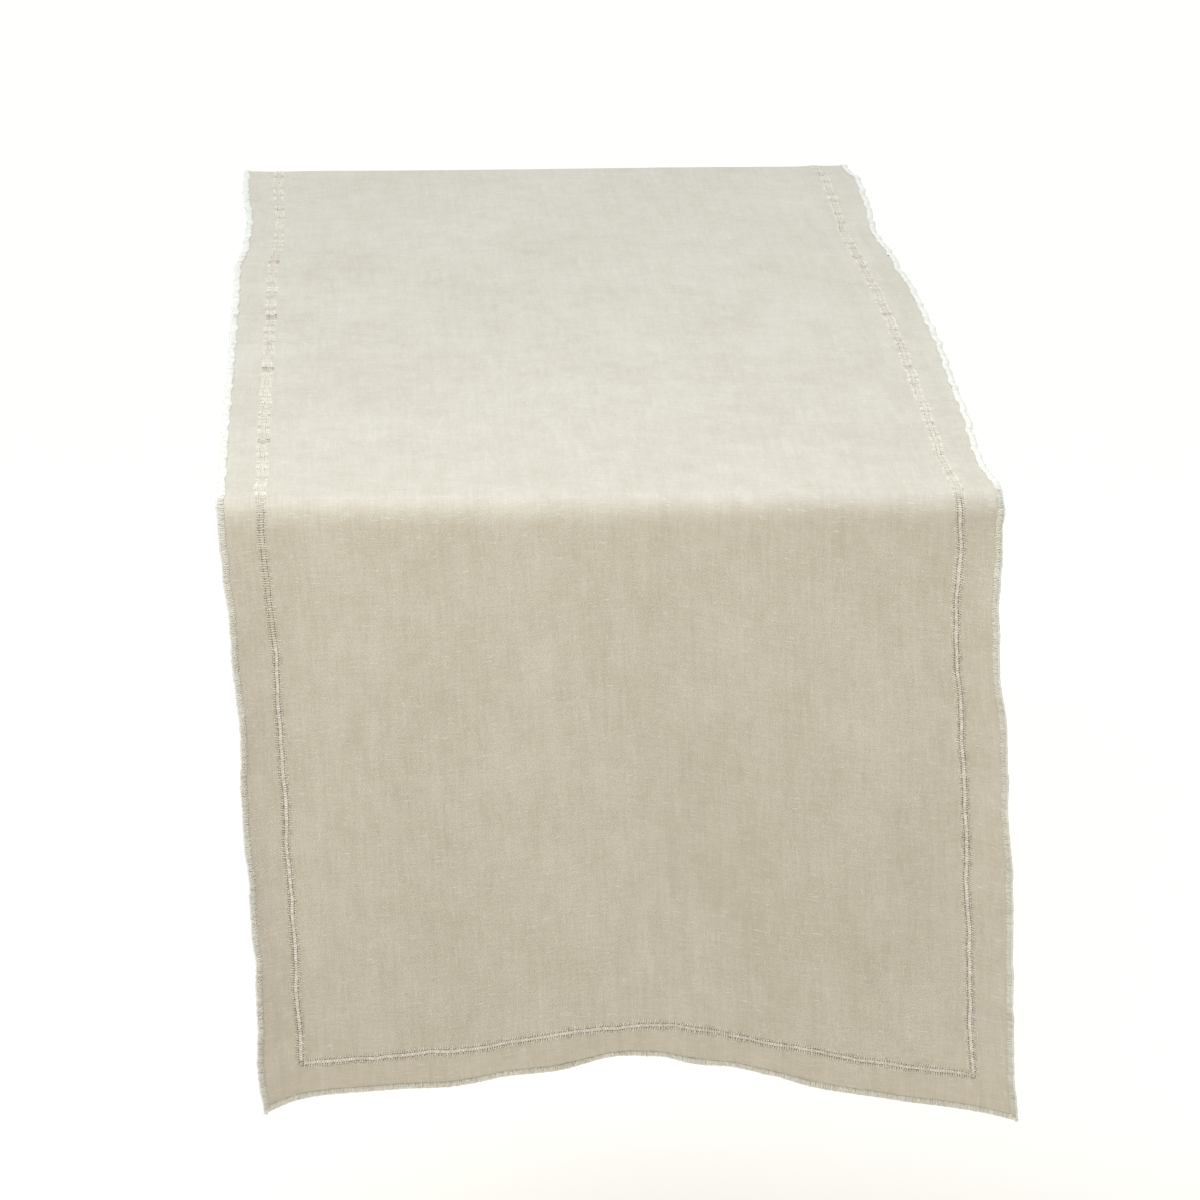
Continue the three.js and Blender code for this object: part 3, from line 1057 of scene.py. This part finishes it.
@dataclass
class StitchTree:
    """A Geometry Nodes tree that sews one kind of stitch along a guide line.

    The guide is a line of edges on the draped cloth whose points hold two vectors: "outward",
    out of the cloth, and "inward", from the edge towards the middle of the cloth.
    """

    kind: StitchKind
    material: bpy.types.Material
    sides: int = 5
    tree: bpy.types.GeometryNodeTree = field(init=False)
    sockets: dict[str, str] = field(init=False, default_factory=dict)

    def __post_init__(self) -> None:
        """Builds the tree."""
        self.tree = bpy.data.node_groups.new(f"sew_{self.kind.value}", "GeometryNodeTree")
        face = self.tree.interface
        face.new_socket(name="Guide", in_out="INPUT", socket_type="NodeSocketGeometry")
        for name in ("Pitch", "Reach", "Rise", "Thread"):
            made = face.new_socket(name=name, in_out="INPUT", socket_type="NodeSocketFloat")
            self.sockets[name] = made.identifier
        made = face.new_socket(name="Seed", in_out="INPUT", socket_type="NodeSocketInt")
        self.sockets["Seed"] = made.identifier
        face.new_socket(name="Stitches", in_out="OUTPUT", socket_type="NodeSocketGeometry")
        self.wire(Graph(self.tree))

    def wire(self, graph: Graph) -> None:
        """Lays out the tree's nodes from the guide to the realized stitches."""
        given = graph.add("NodeGroupInput")
        line = graph.add("GeometryNodeMeshToCurve", None, {"Mesh": given["Guide"]})
        even = graph.add("GeometryNodeResampleCurve", {"mode": "LENGTH"}, {
            "Curve": line["Curve"], "Length": given["Pitch"],
        })
        outward = self.named_vector(graph, "outward")
        inward = self.named_vector(graph, "inward")
        turned = graph.add("FunctionNodeAxesToRotation", {
            "primary_axis": "Z", "secondary_axis": "Y",
        }, {"Primary Axis": outward, "Secondary Axis": inward})
        wobble = self.random(graph, (-0.09, -0.07, -0.12), (0.09, 0.07, 0.12), given["Seed"])
        spin = graph.add("FunctionNodeEulerToRotation", None, {0: wobble})
        rotation = graph.add("FunctionNodeRotateRotation", {"rotation_space": "LOCAL"}, {
            "Rotation": turned["Rotation"], "Rotate By": spin["Rotation"],
        })
        size = self.random(graph, (0.86, 0.90, 0.85), (1.14, 1.10, 1.15), given["Seed"] + 7.0)
        shape = self.stitch(graph, given)
        sewn = graph.add("GeometryNodeInstanceOnPoints", None, {
            "Points": even["Curve"], "Instance": shape, "Rotation": rotation["Rotation"], "Scale": size,
        })
        tint = graph.add("FunctionNodeRandomValue", {"data_type": "FLOAT"}, {
            "Seed": given["Seed"] + 13.0,
        })
        tinted = graph.add("GeometryNodeStoreNamedAttribute", {
            "data_type": "FLOAT", "domain": "INSTANCE",
        }, {"Geometry": sewn["Instances"], "Name": "tint", "Value": tint["Value_001"]})
        real = graph.add("GeometryNodeRealizeInstances", None, {"Geometry": tinted["Geometry"]})
        smooth = graph.add("GeometryNodeSetShadeSmooth", None, {"Geometry": real["Geometry"]})
        dressed = graph.add("GeometryNodeSetMaterial", None, {
            "Geometry": smooth["Geometry"], "Material": self.material,
        })
        graph.add("NodeGroupOutput", None, {"Stitches": dressed["Geometry"]})

    @staticmethod
    def named_vector(graph: Graph, name: str) -> Value:
        """A vector that the guide's points hold."""
        node = graph.add("GeometryNodeInputNamedAttribute", {"data_type": "FLOAT_VECTOR"},
                         {"Name": name})
        return node["Attribute"]

    @staticmethod
    def random(graph: Graph, low: Sequence[float], high: Sequence[float], seed: Value) -> Value:
        """A random vector for each stitch."""
        node = graph.add("FunctionNodeRandomValue", {"data_type": "FLOAT_VECTOR"}, {
            "Min": low, "Max": high, "Seed": seed,
        })
        return node["Value"]

    def tube(self, graph: Graph, curve: Value, radius: Value, shade: float,
             waist: float = 0.0) -> Value:
        """A round thread along a curve.

        Args:
            graph: the tree's graph.
            curve: the thread's centre line.
            radius: its radius, in metres.
            shade: how pale it is, from 0 to 1, stored for the material; 0 marks a thread painted dark as
                painted shade.
            waist: how much thinner it is in the middle, as a share.

        Returns:
            The thread's mesh.
        """
        along = graph.add("GeometryNodeSplineParameter")["Factor"]
        bulge = (along * 2.0 - 1.0) * (along * 2.0 - 1.0)
        shaped = radius * (1.0 - waist + bulge * waist)
        ring = graph.add("GeometryNodeCurvePrimitiveCircle", {"mode": "RADIUS"}, {
            "Resolution": self.sides, "Radius": 1.0,
        })
        made = graph.add("GeometryNodeCurveToMesh", None, {
            "Curve": curve, "Profile Curve": ring["Curve"], "Scale": shaped, "Fill Caps": True,
        })
        shaded = graph.add("GeometryNodeStoreNamedAttribute", {
            "data_type": "FLOAT", "domain": "POINT",
        }, {"Geometry": made["Mesh"], "Name": "shade", "Value": shade})
        return shaded["Geometry"]

    def arch(self, graph: Graph, points: Sequence[Value], steps: int) -> Value:
        """A smooth arch through three control points."""
        node = graph.add("GeometryNodeCurveQuadraticBezier", None, {
            "Resolution": steps, "Start": points[0], "Middle": points[1], "End": points[2],
        })
        return node["Curve"]

    def stitch(self, graph: Graph, given: Node) -> Value:
        """The geometry of one stitch, with X along the row and Y towards the cloth's middle."""
        pitch, reach, rise, thread = (given[n] for n in ("Pitch", "Reach", "Rise", "Thread"))
        if self.kind is StitchKind.LADDER_BAR:
            points = [graph.vector(0.0, reach * -0.5, 0.0), graph.vector(0.0, 0.0, rise * 2.0),
                      graph.vector(0.0, reach * 0.5, 0.0)]
            return self.tube(graph, self.arch(graph, points, 4), thread, 0.6, 0.3)
        if self.kind is StitchKind.WHIP:
            over = [graph.vector(pitch * -0.25, reach * -0.35, rise * -1.2),
                    graph.vector(pitch * 0.05, reach * 0.25, rise * 2.6),
                    graph.vector(pitch * 0.35, reach, rise * -0.9)]
            # The link thread is stored at shade 0, so it takes the hemstitch's near-black deep colour:
            # painted shade for the dark holes of the row.
            link = [graph.vector(pitch * -0.6, reach * -0.10, rise * 0.1),
                    graph.vector(0.0, reach * 0.10, rise * 0.9),
                    graph.vector(pitch * 0.6, reach * -0.10, rise * 0.1)]
            pieces = [self.tube(graph, self.arch(graph, over, 4), thread, 0.95),
                      self.tube(graph, self.arch(graph, link, 2), thread * 0.95, 0.0)]
            return self.join(graph, pieces)
        return self.overlock(graph, pitch, reach, rise, thread)

    def overlock(self, graph: Graph, pitch: Value, reach: Value, rise: Value, thread: Value) -> Value:
        """One looped stitch round the raw edge, with its purl and its needle thread."""
        arc = graph.add("GeometryNodeCurveArc", {"mode": "RADIUS"}, {
            "Resolution": 7, "Radius": 1.0, "Start Angle": math.radians(28),
            "Sweep Angle": math.radians(304),
        })
        place = graph.add("GeometryNodeInputPosition")["Position"]
        parts = graph.add("ShaderNodeSeparateXYZ", None, {"Vector": place})
        spot = graph.vector(parts["Y"] * pitch * 0.35, parts["X"] * reach, parts["Y"] * rise)
        bent = graph.add("GeometryNodeSetPosition", None, {
            "Geometry": arc["Curve"], "Position": spot,
        })
        purl = [graph.vector(pitch * -0.62, reach * -0.92, rise * 0.35),
                graph.vector(0.0, reach * -1.22, rise * 0.05),
                graph.vector(pitch * 0.62, reach * -0.92, rise * -0.3)]
        # The needle thread is stored at shade 0, so it takes the edging's deep colour: a painted shadow
        # line just inside the edging.
        needle = [graph.vector(pitch * -0.48, reach * 1.02, rise * 0.30),
                  graph.vector(0.0, reach * 1.02, rise * 0.95),
                  graph.vector(pitch * 0.48, reach * 1.02, rise * 0.30)]
        pieces = [self.tube(graph, bent["Geometry"], thread, 0.62),
                  self.tube(graph, self.arch(graph, purl, 2), thread * 1.15, 1.0),
                  self.tube(graph, self.arch(graph, needle, 2), thread * 0.45, 0.0)]
        return self.join(graph, pieces)

    @staticmethod
    def join(graph: Graph, pieces: Sequence[Value]) -> Value:
        """Several meshes as one."""
        node = graph.add("GeometryNodeJoinGeometry")
        for piece in pieces:
            graph.tree.links.new(piece.socket, node.node.inputs[0])
        return node["Geometry"]

    def sew(self, name: str, guide: bpy.types.Object, sizes: StitchSizes) -> bpy.types.Object:
        """Sews a row and keeps it as a plain mesh.

        Args:
            name: the piece's name.
            guide: the line to sew along, which is used up.
            sizes: the stitch's sizes.

        Returns:
            The piece.
        """
        modifier = guide.modifiers.new("sew", "NODES")
        modifier.node_group = self.tree
        for label, value in sizes.as_inputs().items():
            modifier[self.sockets[label]] = value
        view = bpy.context.evaluated_depsgraph_get()
        mesh = bpy.data.meshes.new_from_object(guide.evaluated_get(view), depsgraph=view)
        mesh.name = name
        guide.modifiers.clear()
        spare = guide.data
        bpy.data.objects.remove(guide)
        bpy.data.meshes.remove(spare)
        thing = bpy.data.objects.new(name, mesh)
        bpy.context.scene.collection.objects.link(thing)
        if not mesh.materials:
            mesh.materials.append(self.material)
        return thing


@dataclass
class Guide:
    """A line on the draped cloth that stitches are sewn along."""

    drape: Drape
    step: float = 2.0 * MM
    nudge: float = 0.5 * MM

    def along(self, edge: Edge, offset: float, first: float, last: float, h: float) -> bpy.types.Object:
        """A guide beside an edge.

        Args:
            edge: the edge that it runs beside.
            offset: its distance from the cloth's centre line or middle, without a sign.
            first: where it starts, along the edge.
            last: where it ends.
            h: its height above the cloth's underside.

        Returns:
            The guide, an object of edges only.
        """
        count = max(2, round((last - first) / self.step)) + 1
        run = np.linspace(first, last, count)
        fixed = np.full(count, edge.outward * offset)
        u, v = (fixed, run) if edge.lengthwise else (run, fixed)
        points = self.drape.place(u, v, h)
        outward = self.drape.outward_of(self.drape.point, u, v)
        inwards = self.nudge * -edge.outward
        moved = (u + inwards, v) if edge.lengthwise else (u, v + inwards)
        inward = self.drape.place(*moved, h) - points
        mesh = bpy.data.meshes.new(f"guide_{edge.label}")
        mesh.from_pydata(points.tolist(), [(i, i + 1) for i in range(count - 1)], [])
        for name, vectors in (("outward", outward), ("inward", inward)):
            layer = mesh.attributes.new(name, "FLOAT_VECTOR", "POINT")
            unit = vectors / np.linalg.norm(vectors, axis=-1, keepdims=True)
            layer.data.foreach_set("vector", unit.astype(np.float32).ravel())
        thing = bpy.data.objects.new(mesh.name, mesh)
        bpy.context.scene.collection.objects.link(thing)
        return thing


@dataclass
class LadderRows:
    """The four drawn-thread rows: bundled bars, whipped along both sides."""

    pattern: Pattern
    guide: Guide
    pitch: float = 1.3 * MM
    bar_radius: float = 0.74 * MM
    bar_overhang: float = 1.2 * MM
    bar_rise: float = 0.12 * MM
    bar_run_on: float = 0.2 * MM
    bar_seed: int = 11
    whip_thread: float = 0.27 * MM
    whip_reach: float = 2.0 * MM
    whip_rise: float = 0.22 * MM
    whip_run_on: float = 1.6 * MM
    whip_seed: int = 31

    def ends(self, edge: Edge, run_on: float) -> float:
        """How far a row runs to each side of its middle: into the corner's tack by run_on."""
        full = self.pattern.row_v if edge.lengthwise else self.pattern.row_u
        return full - (self.pattern.corner_tack - run_on)

    def build(self, wardrobe: Wardrobe) -> list[bpy.types.Object]:
        """Makes the bars and both whipping threads of every row.

        Args:
            wardrobe: the runner's materials.

        Returns:
            The pieces.
        """
        p = self.pattern
        bars = StitchTree(StitchKind.LADDER_BAR, wardrobe.drawn, sides=6)
        whip = StitchTree(StitchKind.WHIP, wardrobe.hemstitch, sides=4)
        pieces = []
        for number, edge in enumerate(Edge):
            middle = p.row_u if edge.lengthwise else p.row_v
            reach = self.ends(edge, self.bar_run_on)
            line = self.guide.along(edge, middle, -reach, reach, p.thickness / 2)
            bar_length = p.open_width + self.bar_overhang
            sizes = StitchSizes(
                self.pitch, bar_length, self.bar_rise, self.bar_radius, self.bar_seed + number,
            )
            bar_piece = bars.sew(f"ladder_threads_{edge.label}", line, sizes)
            hand_over(bar_piece, "linen_weave", f"ladder_bars_{edge.label}")
            pieces.append(bar_piece)
            reach = self.ends(edge, self.whip_run_on)
            sizes = StitchSizes(
                self.pitch, self.whip_reach, self.whip_rise, self.whip_thread,
                self.whip_seed + number,
            )
            for side, sign in (("outer", 1), ("inner", -1)):
                offset = middle + sign * p.open_width / 2
                line = self.guide.along(edge, offset, -reach, reach, p.thickness)
                if sign > 0:
                    self.turn_round(line)
                stitched = whip.sew(f"whip_stitches_{edge.label}_{side}", line, sizes)
                hand_over(stitched, "hemstitch_thread", f"hemstitch_{edge.label}_{side}")
                pieces.append(stitched)
        return pieces

    @staticmethod
    def turn_round(line: bpy.types.Object) -> None:
        """Makes a guide's stitches reach outward instead of inward."""
        layer = line.data.attributes["inward"]
        vectors = np.empty(len(line.data.vertices) * 3, dtype=np.float32)
        layer.data.foreach_get("vector", vectors)
        layer.data.foreach_set("vector", -vectors)


@dataclass
class Edging:
    """The overlock stitching round the raw edge, and the knotted thread at each corner."""

    pattern: Pattern
    guide: Guide
    pitch: float = 0.9 * MM
    thread: float = 0.46 * MM
    seed: int = 51
    tail_length: float = 2.2 * MM
    tail_root: float = 1.5 * MM
    tail_flare: float = 1.2 * MM
    tail_strands: int = 3
    tail_twist: float = 1.3
    tail_steps: int = 14
    tail_sides: int = 6

    def build(self, wardrobe: Wardrobe) -> list[bpy.types.Object]:
        """Makes the four lengths of edging.

        Args:
            wardrobe: the runner's materials.

        Returns:
            The pieces.
        """
        p = self.pattern
        tree = StitchTree(StitchKind.OVERLOCK, wardrobe.edging, sides=4)
        pieces = []
        for number, edge in enumerate(Edge):
            outer = p.half_width if edge.lengthwise else p.half_length
            full = p.half_length if edge.lengthwise else p.half_width
            reach = full - p.edging_width / 2
            middle = outer - p.edging_width / 2
            line = self.guide.along(edge, middle, -reach, reach, p.thickness / 2)
            sizes = StitchSizes(
                self.pitch, p.edging_width / 2, p.edging_thickness / 2, self.thread,
                self.seed + number,
            )
            piece = tree.sew(f"overlock_{edge.label}", line, sizes)
            hand_over(piece, "edging_thread", f"edging_{edge.label}")
            pieces.append(piece)
        return pieces

    def build_tails(self, wardrobe: Wardrobe) -> list[bpy.types.Object]:
        """Makes the knotted thread ends at the corners.

        Args:
            wardrobe: the runner's materials.

        Returns:
            The pieces.
        """
        return [
            self.tail(wardrobe, end, side)
            for end in (Edge.FRONT, Edge.BACK)
            for side in (Edge.LEFT, Edge.RIGHT)
        ]

    def tail(self, wardrobe: Wardrobe, end: Edge, side: Edge) -> bpy.types.Object:
        """One corner's knot: a short twist of strands, thickest at its root.

        Args:
            wardrobe: the runner's materials.
            end: the end edge that meets the corner.
            side: the side edge that meets it.

        Returns:
            The piece.
        """
        p, drape = self.pattern, self.guide.drape
        points: list[Array] = []
        faces: list[list[int]] = []
        t = np.linspace(0, 1, self.tail_steps)
        for strand in range(self.tail_strands):
            turn = 2 * math.pi * (strand / self.tail_strands + self.tail_twist * t)
            spread = (0.45 + 0.35 * t) * MM
            u = side.outward * (p.half_width - p.edging_width / 2) + spread * np.cos(turn)
            down = self.tail_length * t * (1 - 0.15 * strand)
            v = end.outward * (p.half_length - self.tail_root + down)
            u = u + side.outward * self.tail_flare * t * t
            h = p.thickness / 2 + spread * np.sin(turn)
            line = drape.place(u, v, h)
            radius = self.thread * (1.7 - 0.9 * t)
            strand_points, strand_faces = tube_along(line, radius, self.tail_sides)
            start = sum(len(q) for q in points)
            faces.extend([[i + start for i in f] for f in strand_faces])
            points.append(strand_points)
        thing = mesh_object(f"thread_tail_{end.label}_{side.label}", np.concatenate(points), faces)
        shade_smooth(thing)
        for name, value in (("shade", 0.8), ("tint", 0.5)):
            layer = thing.data.attributes.new(name, "FLOAT", "POINT")
            layer.data.foreach_set("value", [value] * len(thing.data.vertices))
        thing.data.materials.append(wardrobe.edging)
        hand_over(thing, "edging_thread", f"edging_tail_{end.label}_{side.label}")
        return thing


def tube_along(line: Array, radius: Array, sides: int) -> tuple[Array, list[list[int]]]:
    """A closed round tube along a line.

    Args:
        line: the points of its centre.
        radius: its radius at each of them.
        sides: how many sides its section has.

    Returns:
        The tube's points, and its faces.
    """
    along = np.gradient(line, axis=0)
    along = along / np.linalg.norm(along, axis=1, keepdims=True)
    aside = np.array([0.31, 0.93, 0.19])  # any direction that the line doesn't follow
    side = np.cross(along, aside)
    side = side / np.linalg.norm(side, axis=1, keepdims=True)
    up = np.cross(along, side)
    angles = 2 * math.pi * np.arange(sides) / sides
    turned = [np.cos(angles)[None, :, None], np.sin(angles)[None, :, None]]
    ring = side[:, None] * turned[0] + up[:, None] * turned[1]
    points = (line[:, None] + ring * radius[:, None, None]).reshape(-1, 3)
    faces = []
    for i in range(len(line) - 1):
        for j in range(sides):
            a = i * sides + j
            b = i * sides + (j + 1) % sides
            faces.append([a, b, b + sides, a + sides])
    faces.append(list(range(sides))[::-1])
    last = (len(line) - 1) * sides
    faces.append([last + j for j in range(sides)])
    return points, faces


# -------------------------------------------------------------------------------- studio


@dataclass
class Studio:
    """Camera, floor and soft light."""

    azimuth: float = math.radians(-2.69)
    elevation: float = math.radians(16.2)
    distance: float = 2.70
    aim: tuple[float, float, float] = (-0.0053, -0.4182, -0.0583)
    lens: float = 155.1
    table_height: float = 0.76
    floor_size: float = 40.0
    room_light: Colour = (0.377, 0.327, 0.285, 1.0)
    sky_colour: tuple[float, float, float] = (0.71, 0.81, 0.93)
    sky_from: tuple[float, float, float] = (-0.12, 0.22, 1.0)
    sky_spread: float = math.radians(60)
    sky_power: float = 1.06 * math.pi
    lamp_place: tuple[float, float, float] = (-0.35, -1.15, 0.85)
    lamp_target: tuple[float, float, float] = (0.0, -0.44, 0.0)
    lamp_size: float = 0.6
    lamp_power: float = 6.5
    lamp_colour: tuple[float, float, float] = (0.96, 0.98, 0.95)
    floor_colour: Colour = (0.90, 0.84, 0.75, 1.0)
    floor_glow: float = 0.06

    def build(self) -> None:
        """Makes the camera, the floor and the lights."""
        scene = bpy.context.scene
        scene.view_settings.view_transform = "Standard"
        self.camera()
        self.floor()
        world = bpy.data.worlds.new("studio")
        scene.world = world
        world.use_nodes = True
        shade = world.node_tree.nodes["Background"]
        shade.inputs["Color"].default_value = self.room_light
        shade.inputs["Strength"].default_value = 1.0
        self.skylight()
        self.lamp()

    def camera(self) -> None:
        """Places the camera."""
        data = bpy.data.cameras.new("camera")
        data.lens = self.lens
        data.sensor_width = 36.0
        thing = bpy.data.objects.new("camera", data)
        bpy.context.scene.collection.objects.link(thing)
        back = Vector((math.sin(self.azimuth) * math.cos(self.elevation),
                       -math.cos(self.azimuth) * math.cos(self.elevation),
                       math.sin(self.elevation)))
        thing.location = Vector(self.aim) + back * self.distance
        thing.rotation_euler = back.to_track_quat("Z", "Y").to_euler()
        bpy.context.scene.camera = thing

    def floor(self) -> None:
        """Makes the plain pale floor."""
        half = self.floor_size / 2
        z = -self.table_height
        corners = np.array([(-half, -half, z), (half, -half, z), (half, half, z), (-half, half, z)])
        thing = mesh_object("floor", corners, [[0, 1, 2, 3]])
        paint = PaintFinish("floor_paint", self.floor_colour, self.floor_glow)
        thing.data.materials.append(paint.material())

    def skylight(self) -> None:
        """Makes the broad cool light from overhead, a little behind the table."""
        data = bpy.data.lights.new("skylight", "SUN")
        data.angle = self.sky_spread
        data.energy = self.sky_power
        data.color = self.sky_colour
        thing = bpy.data.objects.new("skylight", data)
        bpy.context.scene.collection.objects.link(thing)
        thing.rotation_euler = Vector(self.sky_from).to_track_quat("Z", "Y").to_euler()

    def lamp(self) -> None:
        """Makes the square soft lamp in front, to the left of the camera."""
        data = bpy.data.lights.new("front_fill", "AREA")
        data.size = self.lamp_size
        data.energy = self.lamp_power
        data.color = self.lamp_colour
        thing = bpy.data.objects.new("front_fill", data)
        bpy.context.scene.collection.objects.link(thing)
        thing.location = self.lamp_place
        facing = Vector(self.lamp_place) - Vector(self.lamp_target)
        thing.rotation_euler = facing.to_track_quat("Z", "Y").to_euler()


# ---------------------------------------------------------------------------------- main


def main() -> None:
    """Builds the runner and its studio."""
    logging.basicConfig(level=logging.INFO, format="%(name)s: %(message)s")
    pattern = Pattern()
    drape = Drape(pattern, Table())
    wardrobe = Wardrobe.make()

    Studio().build()
    cloth = LinenCloth(pattern, drape).build(wardrobe.linen)
    hand_over(cloth, "linen_weave", "linen_cloth")
    guide = Guide(drape)
    rows = LadderRows(pattern, guide).build(wardrobe)
    edging = Edging(pattern, guide)
    bound = edging.build(wardrobe) + edging.build_tails(wardrobe)


if __name__ == "__main__":
    main()
